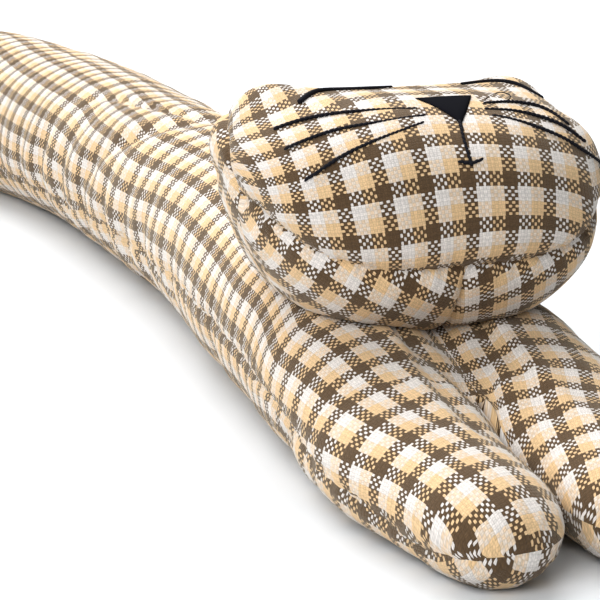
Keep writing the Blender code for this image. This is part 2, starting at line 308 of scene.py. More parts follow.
# They were fitted by least squares to crossings of stripes that were read off the
# photograph.
FACE_DRAPE_UNIT = 50.0
FACE_DRAPE_ACROSS = (-82.0, 58.0)
FACE_DRAPE_ALONG = (-20.0, 66.0)
FACE_TABLE_STEPS = 161
FACE_TABLE_SIDE = 84.0
FACE_DRAPE_COLUMNS = ("across_power", "along_power", "stripes_across", "stripes_along")
FACE_DRAPE = (
    (0, 0, 0.1462, 0.1840),
    (0, 1, 0.1910, -2.8587),
    (0, 2, 0.2972, 0.1739),
    (0, 3, -0.9246, -0.9655),
    (0, 4, 0.4040, 0.6894),
    (1, 0, 3.2208, 0.1290),
    (1, 1, -0.5827, -0.5333),
    (1, 2, -0.0193, 0.0760),
    (1, 3, 0.1214, 0.0337),
    (2, 0, -0.1334, -0.3576),
    (2, 1, 0.2369, -0.1785),
    (2, 2, -0.0350, -0.2840),
    (3, 0, -0.2014, -0.2210),
    (3, 1, 0.3252, 0.5276),
    (4, 0, -0.0576, -0.0267),
)
# Chin panels, right and left of the cat: stripes by lengths across and along, and start,
# fitted in the same way
CHIN_DRAPE_COLUMNS = ("u_across", "u_along", "u_start", "v_across", "v_along", "v_start")
CHIN_DRAPE = {
    -1: (-0.945, 0.218, -2.85, 0.524, 0.909, 3.247),
    1: (-0.903, -0.192, 0.375, -0.503, 1.109, 2.015),
}

# Nose, from the head's middle, in millimetres
NOSE_TOP = (21.0, 41.0)
NOSE_TIP = (42.5, 34.0)
NOSE_SIDE = 4.4
NOSE_TIP_SIDE = 2.1
NOSE_HALF_WIDTH = 10.5
NOSE_STEPS = 18
NOSE_GAP = 0.3
NOSE_THICKNESS = 0.9
NOSE_RIM_SHARE = 0.35
NOSE_RIM_WIDTH = 0.12

# Camera: where it stands, in millimetres, and how it looks
CAMERA_PLACE = (1047.2, -323.83, 297.0)
CAMERA_AZIMUTH = 69.0
CAMERA_ELEVATION = 15.6
CAMERA_LENS = 136.5
CAMERA_SENSOR = 36.0
CAMERA_CLIP = 0.05

# Floor and lights, in metres and watts
FLOOR_SIZE = 6.0
FLOOR_COLOUR = (0.71, 0.725, 0.74)
SKY_COLOUR = (0.88, 0.95, 1.0, 1.0)
SKY_STRENGTH = 0.15
LAMP_COLUMNS = ("name", "place", "target", "size", "power")
LAMPS = (
    ("overhead", (-0.75, 0.0, 1.6), (-0.1, 0.0, 0.0), 1.9, 60.0),
    ("front", (1.15, -1.0, 1.1), (0.25, 0.0, 0.12), 1.0, 22.0),
    ("side", (-0.3, -1.7, 1.6), (-0.1, 0.0, 0.05), 1.4, 14.0),
)


class CatCloth(bpy.types.PropertyGroup):
    """Sizes and colours of the woven check."""

    repeat: bpy.props.FloatProperty(
        name="Check repeat", description="Length of one brown, white and tan repeat",
        default=15.6 * MM, min=0.002, unit="LENGTH")
    cells: bpy.props.IntProperty(
        name="Cells per repeat", description="Groups of threads in one repeat", default=12, min=3)
    brown: bpy.props.FloatVectorProperty(
        name="Brown", description="Brown thread", subtype="COLOR", default=(0.095, 0.055, 0.026))
    white: bpy.props.FloatVectorProperty(
        name="White", description="White thread", subtype="COLOR", default=(0.74, 0.69, 0.65))
    tan: bpy.props.FloatVectorProperty(
        name="Tan", description="Tan thread", subtype="COLOR", default=(0.73, 0.50, 0.27))
    pucker: bpy.props.FloatProperty(
        name="Seam pucker", description="Depth of the small puckers along a seam",
        default=1.0 * MM, min=0.0, unit="LENGTH")


class CatThread(bpy.types.PropertyGroup):
    """Sizes and colour of the embroidery."""

    stitch: bpy.props.FloatProperty(
        name="Stitch pitch", description="Distance from one stitch to the next",
        default=1.9 * MM, min=0.0005, unit="LENGTH")
    black: bpy.props.FloatVectorProperty(
        name="Black", description="Black thread and satin", subtype="COLOR",
        default=(0.005, 0.005, 0.007))


# Forms

def mix(low, high, share):
    return low + (high - low) * share


def ease(value, low, high):
    t = np.clip((value - low) / (high - low), 0.0, 1.0)
    return t * t * (3.0 - 2.0 * t)


def hill(distance, width):
    return np.exp(-(distance / width) ** 2)


def smooth_table(position, rows, column):
    """Values at the positions, on a smooth curve through one column of a table."""
    positions = np.array([row[0] for row in rows])
    values = np.array([row[column] for row in rows])
    slopes = np.gradient(values, positions)
    row = np.clip(np.searchsorted(positions, position) - 1, 0, len(positions) - 2)
    width = positions[row + 1] - positions[row]
    t = (position - positions[row]) / width
    share = t * t * (3.0 - 2.0 * t)
    bend_from = width * slopes[row] * t * (1.0 - t) ** 2
    bend_to = width * slopes[row + 1] * t * t * (t - 1.0)
    return values[row] * (1.0 - share) + values[row + 1] * share + bend_from + bend_to


def body_value(column, reach):
    return smooth_table(reach, BODY_SECTIONS, BODY_COLUMNS.index(column))


def leg_half_width(reach):
    """Half width of a lobe, held back from the middle where the legs are parted."""
    half_width = body_value("half_width", reach)
    room = body_value("lobe", reach) - mix(LEG_GAP, CLOSED_GAP, ease(reach, *GAP_CLOSES))
    return np.where(reach < CROTCH_REACH, np.minimum(half_width, room), half_width)


def end_rounding(reach):
    """Share of the full section that is left near the paw tips and near the rump."""
    near = np.clip(1.0 - reach / PAW_ROUND, 0.0, 1.0)
    far = np.clip(1.0 - (BODY_LENGTH - reach) / RUMP_ROUND, 0.0, 1.0)
    paw = (1.0 - near ** PAW_POWER) ** (1.0 / PAW_POWER)
    rump = (1.0 - far ** RUMP_POWER) ** (1.0 / RUMP_POWER)
    return paw * rump


def fold_depth(side, reach, angle):
    """Depth of all troughs at points of one side."""
    total = np.zeros(np.broadcast(reach, angle).shape)
    for reach_from, reach_to, angle_from, angle_to, depth, half_width in (
            LEFT_FOLDS if side < 0 else RIGHT_FOLDS):
        along = np.clip((angle - angle_from) / (angle_to - angle_from), 0.0, 1.0)
        overrun = (angle - mix(angle_from, angle_to, along)) / FOLD_OVERRUN
        across = (reach - mix(reach_from, reach_to, along)) / half_width
        fade = mix(FOLD_FAINTEST, 1.0, np.sin(math.pi * np.clip(along, *FOLD_ENDS)))
        total = total + depth * fade * np.exp(-across ** 2 - overrun ** 2)
    return total


def body_frame(reach):
    """Middle point of a section on the floor, and the direction to the cat's left."""
    middle = body_value("middle", reach)
    slope = (body_value("middle", reach + 1.0) - body_value("middle", reach - 1.0)) / 2.0
    length = np.hypot(1.0, slope)
    return PAW_TIP_X - reach, middle + SIDE_SHIFT, slope / length, 1.0 / length


def lobe_rise(reach, out):
    """Height on a lobe's inner upper quarter, as a share, by how far in from its middle."""
    power = np.maximum(smooth_table(reach, WEB_FULLNESS, 1), 2.0)
    lobe, half_width = body_value("lobe", reach), leg_half_width(reach)
    trough = TROUGH_RADIUS * (ease(reach, *TROUGH_STARTS) - ease(reach, *TROUGH_ENDS))
    inward = (lobe - np.hypot(lobe + half_width * out, trough)) / half_width
    return (1.0 - np.clip(inward, 0.0, 1.0) ** power) ** (1.0 / power)


def body_surface(reach, side, angle, sunk=0.0):
    """Points of the body's surface, sunk by that many millimetres more than its folds."""
    share = end_rounding(reach)
    height = body_value("height", reach)
    across = leg_half_width(reach) * share
    up = height / 2.0 * share + np.where(angle < 0.0, FLAT_DEPTH * share, 0.0)
    depth = fold_depth(side, reach, np.degrees(angle)) * share + sunk
    out = np.cos(angle) / np.maximum(across, 1.0)
    rise = np.sin(angle) / np.maximum(up, 1.0)
    size = np.hypot(out, rise)
    lateral = body_value("lobe", reach) + across * np.cos(angle) - depth * out / size
    is_inner = (np.cos(angle) < 0.0) & (np.sin(angle) > 0.0)
    climb = np.where(is_inner, lobe_rise(reach, np.cos(angle)), np.sin(angle))
    z = np.maximum(height / 2.0 + up * climb - depth * rise / size, 0.0)
    middle_x, middle_y, left_x, left_y = body_frame(reach)
    x = middle_x + side * lateral * left_x
    y = middle_y + side * lateral * left_y
    return np.stack(np.broadcast_arrays(x, y, z), axis=-1)


def body_top(x, y):
    """Height of the body above the floor under points near the head, or 0 beside it."""
    reach = PAW_TIP_X - x
    lateral = np.abs(y - SIDE_SHIFT - body_value("middle", reach))
    off = (lateral - body_value("lobe", reach)) / leg_half_width(reach)
    outer = np.sqrt(np.clip(1.0 - off ** 2, 0.0, 1.0))
    climb = np.where(off < 0.0, lobe_rise(reach, off), outer)
    return np.where(np.abs(off) < 1.0, body_value("height", reach) / 2.0 * (1.0 + climb), 0.0)


# Cloth on the body

def section_arc(reach, angle):
    """Length of cloth from the top of a lobe outwards to an angle, in millimetres."""
    half_width = leg_half_width(reach)
    half_height = body_value("height", reach) / 2.0
    span = math.pi / 2.0 - angle
    total = 0.0
    for step in range(ARC_STEPS):
        a = angle + span * (step + 0.5) / ARC_STEPS
        piece = np.hypot(half_width * np.sin(a), half_height * np.cos(a))
        total = total + piece * span / ARC_STEPS
    return total


def trunk_sweep(reach):
    """Angle at which a lobe meets the middle plane."""
    share = body_value("lobe", reach) / body_value("half_width", reach)
    return np.arccos(-np.clip(share, 0.0, 1.0))


def cloth_on_body(reach, side, angle, is_leg):
    """Flat place of the top cloth, along and across its grain, in millimetres."""
    share = end_rounding(reach)
    turn = np.radians(smooth_table(reach, GRAIN_TURN, 1))
    upper = np.maximum(angle, 0.0)
    folded = np.arccos(np.clip(share * np.cos(upper), -1.0, 1.0))
    half_height = body_value("height", reach) / 2.0
    arc = section_arc(reach, folded) - half_height * share * np.minimum(angle, 0.0)
    drop = half_height * (np.sin(folded) - share * np.sin(upper))
    if is_leg:
        crotch = np.full_like(reach, CROTCH_REACH)
        start_x, start_y, _, _ = body_frame(crotch)
        first = section_arc(crotch, LEG_GRAIN_START)
        leg_turn = math.radians(LEG_GRAIN_TURN)
        into = np.maximum(PAW_ROUND - reach, 0.0)
        run = CROTCH_REACH - reach - into + np.hypot(into, drop)
        along = start_x + run * math.cos(leg_turn) - arc * math.sin(leg_turn)
        outward = -first + run * math.sin(leg_turn) + arc * math.cos(leg_turn)
        return along, start_y - SIDE_SHIFT + side * outward
    middle_x, middle_y, left_x, left_y = body_frame(reach)
    first = -section_arc(reach, trunk_sweep(reach))
    inner = np.minimum(arc, 0.0) + first
    outer = np.maximum(arc, 0.0)
    into = np.maximum(RUMP_ROUND - (BODY_LENGTH - reach), 0.0)
    middle_x = middle_x - (np.hypot(into, drop) - into)
    outward = inner + outer * np.cos(turn)
    along = middle_x + side * left_x * outward - outer * np.sin(turn)
    return along, middle_y - SIDE_SHIFT + side * left_y * outward


def seam_angle(reach):
    return np.radians(smooth_table(reach, SEAM_LINE, 1))


def wrinkle(points):
    """Fine unevenness of the stuffed cloth, in millimetres."""
    result = np.zeros(points.shape[:-1])
    for index in np.ndindex(result.shape):
        x, y, z = points[index]
        for height, by_x, by_y, by_z, start in WRINKLES:
            result[index] += height * noise.noise(Vector((x * by_x, y * by_y, z * by_z + start)))
    return result


def pucker_beat(place, pitch, drift):
    """Waves from 0 to 1 along a seam, uneven by the drift in radians."""
    return 0.5 + 0.5 * np.sin(place * 2.0 * math.pi / pitch + drift)


def seam_sink(reach, angle, pucker):
    """Groove and puckers along the side seam, ridges and small folds, in millimetres."""
    half = body_value("height", reach) / 2.0 + SEAM_ARM
    distance = (angle - seam_angle(reach)) * half
    drift = PUCKER_DRIFT * np.sin(reach * PUCKER_DRIFT_RATE)
    spread = mix(*PUCKER_WIDTHS, ease(reach, *PUCKERS_WIDEN))
    seam = GROOVE_DEPTH * hill(distance, GROOVE_WIDTH)
    seam = seam + pucker / MM * pucker_beat(reach, PUCKER_PITCH, drift) * hill(distance, spread)
    gather = GATHER_DEPTH * hill(reach, GATHER_REACH) * (0.5 + 0.5 * np.cos(GATHERS * angle))
    along_leg = ease(reach, *RIDGE_STARTS) - ease(reach, *RIDGE_ENDS)
    from_ridge = (angle - math.radians(RIDGE_ANGLE)) * half
    furrow = FURROW_SHARE * hill(from_ridge - FURROW_PLACE, FURROW_WIDTH)
    ridge = RIDGE_RISE * along_leg * (hill(from_ridge, RIDGE_WIDTH) - furrow)
    lateral = body_value("lobe", reach) + half * np.cos(angle)
    fold_reach = PARTING_REACH + WEB_FOLD_RUN * np.clip(lateral / WEB_FOLD_SPAN, 0.0, 1.0)
    on_web = ease(reach, *WEB_FOLD_STARTS) * (1.0 - ease(lateral, *WEB_FOLD_FADES))
    on_web = on_web * (np.sin(angle) > 0.0)
    fold = WEB_FOLD_DEPTH * on_web * hill(reach - fold_reach, WEB_FOLD_WIDTH)
    return seam + gather - ridge + fold


# Head

def head_form(direction):
    """Points of the plain cushion's surface, from the head's middle, in millimetres."""
    d = direction / np.linalg.norm(direction, axis=-1, keepdims=True)
    dx, dy, dz = d[..., 0], d[..., 1], d[..., 2]
    upper = ease(dz, *UPPER_SPAN)
    front_power = mix(CHIN_POWER, BROW_POWER, upper)
    back_power = mix(NAPE_POWER, CROWN_POWER, upper)
    profile_power = mix(back_power, front_power, ease(dx, *FRONT_SPAN))
    end_power = mix(LEFT_POWER, RIGHT_POWER, ease(dy, *LEFT_SPAN))
    width_power = mix(JAW_POWER, end_power, upper)
    forward = np.abs(dx) / np.where(dx > 0.0, HEAD_FRONT, HEAD_BACK)
    up = np.abs(dz) / np.where(dz > 0.0, HEAD_UP, HEAD_DOWN)
    profile = (forward ** profile_power + up ** profile_power) ** (1.0 / profile_power)
    sideways = np.abs(dy) / HEAD_HALF_WIDTH
    whole = (profile ** width_power + sideways ** width_power) ** (1.0 / width_power)
    x, y, z = dx / whole, dy / whole, dz / whole
    lean = z / LEAN_HEIGHT
    y = y * (1.0 + lean * mix(LEFT_LEAN, RIGHT_LEAN, ease(y, *LEAN_SPAN)))
    x = np.where(x < 0.0, x * (1.0 + BACK_LEAN * lean), x)
    for back, side, rise in EARS:
        from_ear = (x + back) ** 2 + (y - side) ** 2
        z = z + np.where(z > 0.0, rise * np.exp(-from_ear / (2.0 * EAR_RADIUS ** 2)), 0.0)
    return np.stack([x, y, z], axis=-1)


def crown_reach(left, up):
    """How far back the face panel runs over the crown at a height, in millimetres."""
    at_ends = ease(np.abs(left), *CROWN_ENDS)
    over = CROWN_SEAM_RUN * ease(up, *CROWN_RIM)
    return CROWN_SEAM_BEND * np.maximum(up - CROWN_SEAM_Z, 0.0) ** 2 + (1.0 - at_ends) * over


def head_seam_distance(point):
    """Signed distance, in millimetres, to the edge of the face panel."""
    forward, left, up = point[..., 0], point[..., 1], point[..., 2]
    above_chin = up - (CHIN_SEAM_Z + CHIN_SEAM_RISE * (left / CHIN_SEAM_SPAN) ** 4)
    crown = crown_reach(left, up)
    slope = crown_reach(left, up + 0.5) - crown_reach(left, up - 0.5)
    before_side = forward - (SIDE_SEAM_X - SIDE_SEAM_SLOPE * (up - SIDE_SEAM_Z) - crown)
    before_side = before_side / np.hypot(1.0, slope)
    blend = np.clip(0.5 + (above_chin - before_side) / (2.0 * SEAM_CORNER), 0.0, 1.0)
    return mix(above_chin, before_side, blend) - SEAM_CORNER * blend * (1.0 - blend)


def head_place(point):
    """Millimetres from the head's middle to millimetres in the world."""
    turn = math.radians(HEAD_TURN)
    x = point[..., 0] * math.cos(turn) + point[..., 1] * math.sin(turn) + PAW_TIP_X - HEAD_REACH
    y = point[..., 1] * math.cos(turn) - point[..., 0] * math.sin(turn) + SIDE_SHIFT + HEAD_SIDE
    return np.stack([x, y, point[..., 2] + HEAD_Z], axis=-1)


def head_surface(direction, pucker=0.0):
    """Points of the head with seams, puckers and small unevenness, from its middle."""
    point = head_form(direction)
    inward = point / np.linalg.norm(point, axis=-1, keepdims=True)
    distance = head_seam_distance(point)
    drift = HEAD_PUCKER_DRIFT * np.sin(point[..., 2] * HEAD_PUCKER_DRIFT_RATE)
    beat = pucker_beat(point[..., 1], HEAD_PUCKER_PITCH, drift)
    sink = creases(distance, PANEL_CREASES) + pucker * beat * hill(distance, HEAD_PUCKER_WIDTH)
    for side in (-1.0, 1.0):
        ahead, rise = point[..., 0] - TUCK_X, point[..., 2] - TUCK_Z
        from_tuck = ahead ** 2 + rise ** 2 + (point[..., 1] - side * TUCK_Y) ** 2
        rays = 0.5 + 0.5 * np.cos(TUCK_RAYS * np.arctan2(rise, ahead) + 1.0)
        sink = sink + TUCK_DEPTH * rays * np.exp(-from_tuck / TUCK_RADIUS ** 2)
    below = ease(-distance, *CHIN_CREASE_STARTS)
    sink = sink + below * creases(point[..., 1], CHIN_CREASES)
    return point - inward * sink[..., None]


def creases(distance, rows):
    return sum(depth * hill(distance, width) for depth, width in rows)


def cloth_lengths(points, axis):
    """Lengths of cloth from the middle of a grid of points, along one of its axes."""
    steps = np.linalg.norm(np.diff(points, axis=axis), axis=-1)
    lengths = np.insert(np.cumsum(steps, axis=axis), 0, 0.0, axis=axis)
    return lengths - lengths.take([lengths.shape[axis] // 2], axis=axis)


def head_cloth_table():
    """Flat places of the face cloth over a grid of profile angles and sideways angles."""
    turn = np.radians(np.linspace(-180.0, 180.0, FACE_TABLE_STEPS))
    side = np.radians(np.linspace(-FACE_TABLE_SIDE, FACE_TABLE_SIDE, FACE_TABLE_STEPS))
    turns, sides = np.meshgrid(turn, side, indexing="ij")
    points = head_form(np.stack([np.cos(turns), np.tan(sides), np.sin(turns)], axis=-1))
    return turn, side, cloth_lengths(points, 0), cloth_lengths(points, 1)


def head_cloth(direction, table):
    """Flat place of the face cloth, across and along, for directions from the middle."""
    turn, side, along, across = table
    a = np.arctan2(direction[..., 2], direction[..., 0])
    s = np.arctan2(direction[..., 1], np.hypot(direction[..., 0], direction[..., 2]))
    col_a = np.clip((a - turn[0]) / (turn[1] - turn[0]), 0.0, len(turn) - 1.001)
    col_s = np.clip((s - side[0]) / (side[1] - side[0]), 0.0, len(side) - 1.001)
    i, j = col_a.astype(int), col_s.astype(int)
    p, q = col_a - i, col_s - j
    weights = (
        (0, 0, (1 - p) * (1 - q)), (1, 0, p * (1 - q)),
        (0, 1, (1 - p) * q), (1, 1, p * q))
    u = sum(across[i + m, j + n] * w for m, n, w in weights)
    v = sum(along[i + m, j + n] * w for m, n, w in weights)
    return u, v


# Materials

class Number:
    """A number socket of a node tree. Sums and products with it add Math nodes."""

    def __init__(self, nodes, socket):
        self.nodes = nodes
        self.socket = socket

    def math(self, operation, *others):
        values = [self] + list(others)
        node = self.nodes.add("ShaderNodeMath", {"operation": operation}, dict(enumerate(values)))
        return Number(self.nodes, node.outputs[0])

    def __add__(self, other): return self.math("ADD", other)
    def __radd__(self, other): return self.math("ADD", other)
    def __mul__(self, other): return self.math("MULTIPLY", other)
    def __rmul__(self, other): return self.math("MULTIPLY", other)
    def __sub__(self, other): return self.math("SUBTRACT", other)
    def __truediv__(self, other): return self.math("DIVIDE", other)
    def __lt__(self, other): return self.math("LESS_THAN", other)
    def __gt__(self, other): return self.math("GREATER_THAN", other)
    def __rsub__(self, other): return self.math("MULTIPLY", -1.0).math("ADD", other)
    def floor(self): return self.math("FLOOR")
    def fract(self): return self.math("FRACT")
    def sine(self): return self.math("SINE")
    def power(self, other): return self.math("ABSOLUTE").math("POWER", other)


class Nodes:
    """Adds nodes to a material's tree."""

    def __init__(self, material):
        material.use_nodes = True
        self.tree = material.node_tree
        self.shader = self.tree.nodes["Principled BSDF"]

    def add(self, kind, settings=None, inputs=None):
        node = self.tree.nodes.new(kind)
        for name, value in (settings or {}).items():
            setattr(node, name, value)
        for key, value in (inputs or {}).items():
            self.feed(node.inputs[key], value)
        return node

    def feed(self, socket, value):
        if isinstance(value, Number):
            value = value.socket
        if isinstance(value, bpy.types.NodeSocket):
            self.tree.links.new(value, socket)
        elif socket.type == "RGBA":
            socket.default_value = (*value, 1.0)
        else:
            socket.default_value = value

    def surface(self, inputs):
        """Feeds the shader's own sockets."""
        for name, value in inputs.items():
            self.feed(self.shader.inputs[name], value)

    def number(self, socket):
        return Number(self, socket)

    def colour_mix(self, factor, first, second, blend="MIX"):
        settings = {"data_type": "RGBA", "blend_type": blend}
        node = self.add("ShaderNodeMix", settings, {0: factor, 6: first, 7: second})
        return node.outputs[2]


def stripe_colour(nodes, position, cloth):
    """Colour of the thread at a place counted in repeats: brown, white, then tan."""
    part = position.fract()
    first = nodes.colour_mix(part > 1.0 / 3.0, tuple(cloth.brown), tuple(cloth.white))
    return nodes.colour_mix(part > 2.0 / 3.0, first, tuple(cloth.tan))


# Half width and half length, in cells, of a light thread's dash between brown threads
DASH_WIDTH = 0.34
DASH_LENGTH = 0.52
DASH_POWER = 4.0
LIGHT_BLEND = 0.33

# Height of the woven threads, and the painted shade that darkens the cloth where they lie deep
ARCH_LOW = 0.45
ARCH_RISE = 0.55
PLY_LOW = 0.55
PLY_RISE = 0.45
SHADE_LOW = 0.50
SHADE_BY_HEIGHT = 0.46
# Random tone of each thread, the cloth's own colour and no shade
TONE_BY_THREAD = 0.22
RELIEF_BY_THREAD = 0.25


def make_weave(name, cloth):
    """Plain weave of doubled threads in a check of three colours, on the cloth UV map."""
    material = bpy.data.materials.new(name)
    nodes = Nodes(material)
    uv = nodes.add("ShaderNodeUVMap", {"uv_map": "cloth"})
    split = nodes.add("ShaderNodeSeparateXYZ", None, {0: uv.outputs[0]})
    cells = float(cloth.cells)
    across = nodes.number(split.outputs[0]) * cells
    along = nodes.number(split.outputs[1]) * cells
    column, row = across.floor(), along.floor()
    warp_on_top = ((column + row) * 0.5).fract() * 2.0
    warp_place = (column + 0.5) / cells
    weft_place = (row + 0.5) / cells
    warp = stripe_colour(nodes, warp_place, cloth)
    weft = stripe_colour(nodes, weft_place, cloth)
    top = nodes.colour_mix(warp_on_top, weft, warp)
    below = nodes.colour_mix(warp_on_top, warp, weft)

    in_column, in_row = across.fract(), along.fract()
    warp_brown = warp_place.fract() < 1.0 / 3.0
    weft_brown = weft_place.fract() < 1.0 / 3.0
    top_brown = weft_brown + (warp_brown - weft_brown) * warp_on_top
    below_brown = warp_brown + (weft_brown - warp_brown) * warp_on_top
    both_light = (1.0 - warp_brown) * (1.0 - weft_brown)
    off_column, off_row = in_column - 0.5, in_row - 0.5
    aside = off_row + (off_column - off_row) * warp_on_top
    lengthwise = off_column + (off_row - off_column) * warp_on_top
    from_dash = (aside / DASH_WIDTH).power(DASH_POWER)
    inside = (from_dash + (lengthwise / DASH_LENGTH).power(DASH_POWER)) < 1.0
    covered = inside.math("MAXIMUM", top_brown).math("MAXIMUM", 1.0 - below_brown)
    colour = nodes.colour_mix(covered - both_light * LIGHT_BLEND, below, top)
    ply_column = ((in_column * 2.0).fract() * math.pi).sine()
    ply_row = ((in_row * 2.0).fract() * math.pi).sine()
    arch_column = (in_column * math.pi).sine()
    arch_row = (in_row * math.pi).sine()
    warp_height = (ARCH_LOW + ARCH_RISE * arch_row) * (PLY_LOW + PLY_RISE * ply_column)
    weft_height = (ARCH_LOW + ARCH_RISE * arch_column) * (PLY_LOW + PLY_RISE * ply_row)
    height = weft_height + (warp_height - weft_height) * warp_on_top

    thread = nodes.add("ShaderNodeTexWhiteNoise", {"noise_dimensions": "2D"}, {
        0: nodes.add("ShaderNodeCombineXYZ", None, {
            0: (across * 2.0).floor() * warp_on_top,
            1: (along * 2.0).floor() * (1.0 - warp_on_top)}).outputs[0]})
    spread = nodes.number(thread.outputs["Value"])
    # Painted shade: the base colour is darker where the threads lie deep, times a random tone of
    # each thread
    shade_and_tone = SHADE_LOW + SHADE_BY_HEIGHT * height + TONE_BY_THREAD * spread
    grey = nodes.add("ShaderNodeCombineColor", None, {0: shade_and_tone, 1: shade_and_tone, 2: shade_and_tone})
    shaded = nodes.colour_mix(1.0, colour, grey.outputs[0], "MULTIPLY")
    bump = nodes.add("ShaderNodeBump", None, {
        "Strength": 0.7, "Distance": 0.32 * MM, "Height": height + RELIEF_BY_THREAD * spread})
    nodes.surface({
        "Base Color": shaded, "Normal": bump.outputs[0],
        "Roughness": 0.88, "Specular IOR Level": 0.2,
        "Sheen Weight": 0.3, "Sheen Roughness": 0.45, "Sheen Tint": (1.0, 0.90, 0.74)})
    return material


def make_thread(name, thread):
    """Twisted embroidery thread with fine fibres."""
    material = bpy.data.materials.new(name)
    nodes = Nodes(material)
    place = nodes.add("ShaderNodeTexCoord").outputs["Object"]
    fibres = nodes.add(
        "ShaderNodeTexNoise", None, {"Vector": place, "Scale": 2600.0, "Detail": 2.0})
    level = nodes.number(fibres.outputs[0])
    colour = nodes.colour_mix(level, tuple(thread.black), tuple(2.6 * c for c in thread.black))
    bump = nodes.add(
        "ShaderNodeBump", None, {"Strength": 0.4, "Distance": 0.1 * MM, "Height": level})
    nodes.surface({
        "Base Color": colour, "Normal": bump.outputs[0],
        "Roughness": 0.75, "Specular IOR Level": 0.08})
    return material


SATIN_RIB = 0.45 * MM


def make_satin(name, thread):
    """Black satin with its fine ribs running across."""
    material = bpy.data.materials.new(name)
    nodes = Nodes(material)
    place = nodes.add("ShaderNodeTexCoord").outputs["Object"]
    split = nodes.add("ShaderNodeSeparateXYZ", None, {0: place})
    ribs = (nodes.number(split.outputs[1]) * (2.0 * math.pi / SATIN_RIB)).sine() * 0.5 + 0.5
    fibres = nodes.add(
        "ShaderNodeTexNoise", None, {"Vector": place, "Scale": 900.0, "Detail": 3.0})
    level = ribs * 0.6 + nodes.number(fibres.outputs[0]) * 0.4
    colour = nodes.colour_mix(level, tuple(thread.black), tuple(1.3 * c for c in thread.black))
    bump = nodes.add(
        "ShaderNodeBump", None, {"Strength": 0.3, "Distance": 0.1 * MM, "Height": level})
    nodes.surface({
        "Base Color": colour, "Normal": bump.outputs[0],
        "Roughness": 0.85, "Specular IOR Level": 0.02})
    return material


def material_of(name, maker, settings):
    return bpy.data.materials.get(name) or maker(name, settings)


# Pieces

def link_piece(name, mesh, material):
    mesh.materials.clear()
    mesh.materials.append(material)
    piece = bpy.data.objects.new(name, mesh)
    bpy.context.scene.collection.objects.link(piece)
    return piece


def add_piece(name, bm, material):
    bmesh.ops.recalc_face_normals(bm, faces=bm.faces)
    mesh = bpy.data.meshes.new(name)
    bm.to_mesh(mesh)
    bm.free()
    mesh.shade_smooth()
    return link_piece(name, mesh, material)


def draped(along, across, cloth, side):
    """Flat millimetres on the body to repeats of the check, as the cloth really lies."""
    repeat = cloth.repeat / MM
    u, v = along / repeat, -across / repeat
    stripe = smooth_table(u, BODY_DRAPE, 1)
    within = np.clip(u, BODY_DRAPE[0][0], BODY_DRAPE[-1][0])
    off = smooth_table(within, BODY_DRAPE, 2) - FOURTH_STRIPE - STRIPE_MIDDLE
    share = np.maximum(ease(np.abs(v), *SHIFT_STARTS), ease(u, *LEG_SHIFT_STARTS))
    return stripe + STRIPE_MIDDLE, v + side * off * share


# Steps of the body's mesh: around, down between the legs, along each rounded end, and the
# distance of rings in millimetres
RING_STEPS = 56
WALL_STEPS = 10
PAW_STEPS = 16
RUMP_STEPS = 20
STATION_STEP = 3.0
# Where a paw's closing ring is, in millimetres, and how far the rump's reaches, in radians
TIP_REACH = 1e-6
END_SWEEP = 1.5


class BodySheet:
    """Fills a mesh with strips of faces that carry flat cloth places."""

    def __init__(self, cloth):
        self.cloth = cloth
        self.bm = bmesh.new()
        self.uv = self.bm.loops.layers.uv.new("cloth")

    def ring(self, reach, side, angles, is_leg):
        """Vertices of half a trunk section or of one leg section, with cloth places."""
        reaches = np.full(len(angles), float(reach))
        sunk = seam_sink(reaches, angles, self.cloth.pucker)
        rough = wrinkle(body_surface(reaches, side, angles))
        share = float(end_rounding(np.array([reach]))[0])
        points = body_surface(reaches, side, angles, (sunk + rough) * share)
        turned = np.arctan2(np.sin(angles), np.cos(angles))
        top = cloth_on_body(reaches, side, turned, is_leg)
        under = draped(*cloth_on_body(reaches, side, np.abs(turned), is_leg), self.cloth, side)
        return {
            "points": points,
            "angles": turned,
            "seam": float(seam_angle(reaches[:1])[0]),
            "top": draped(*top, self.cloth, side),
            "under": [place + shift for place, shift in zip(under, UNDERSIDE_SHIFT)],
        }

    def vert(self, point):
        return self.bm.verts.new(tuple(point * MM))

    def strip(self, ring_a, ring_b):
        """Faces between two rings of equal length."""
        for k in range(len(ring_a["verts"]) - 1):
            self.face(((ring_a, k), (ring_a, k + 1), (ring_b, k + 1), (ring_b, k)))

    def fan(self, ring, tip, vert):
        """Faces between a ring and the one vertex that closes it."""
        tip["verts"] = [vert] * len(ring["verts"])
        for k in range(len(ring["verts"]) - 1):
            self.face(((ring, k), (ring, k + 1), (tip, k)))

    def face(self, corners):
        """One face, with cloth places of the top or underside by where its middle lies."""
        face = self.bm.faces.new([ring["verts"][c] for ring, c in corners])
        angles = [ring["angles"][c] for ring, c in corners]
        middle = sum(angles) / len(angles)
        is_under = middle < corners[0][0]["seam"] or max(angles) - min(angles) > math.pi
        key = "under" if is_under else "top"
        for loop, (ring, c) in zip(face.loops, corners):
            loop[self.uv].uv = (ring[key][0][c], ring[key][1][c])


def round_steps(length, count):
    """Reaches that crowd towards a rounded end."""
    return [length * (1.0 - math.cos(math.pi / 2.0 * k / count)) for k in range(1, count)]


def stations(reach_from, reach_to):
    return list(np.linspace(
        reach_from, reach_to, round((reach_to - reach_from) / STATION_STEP) + 1))


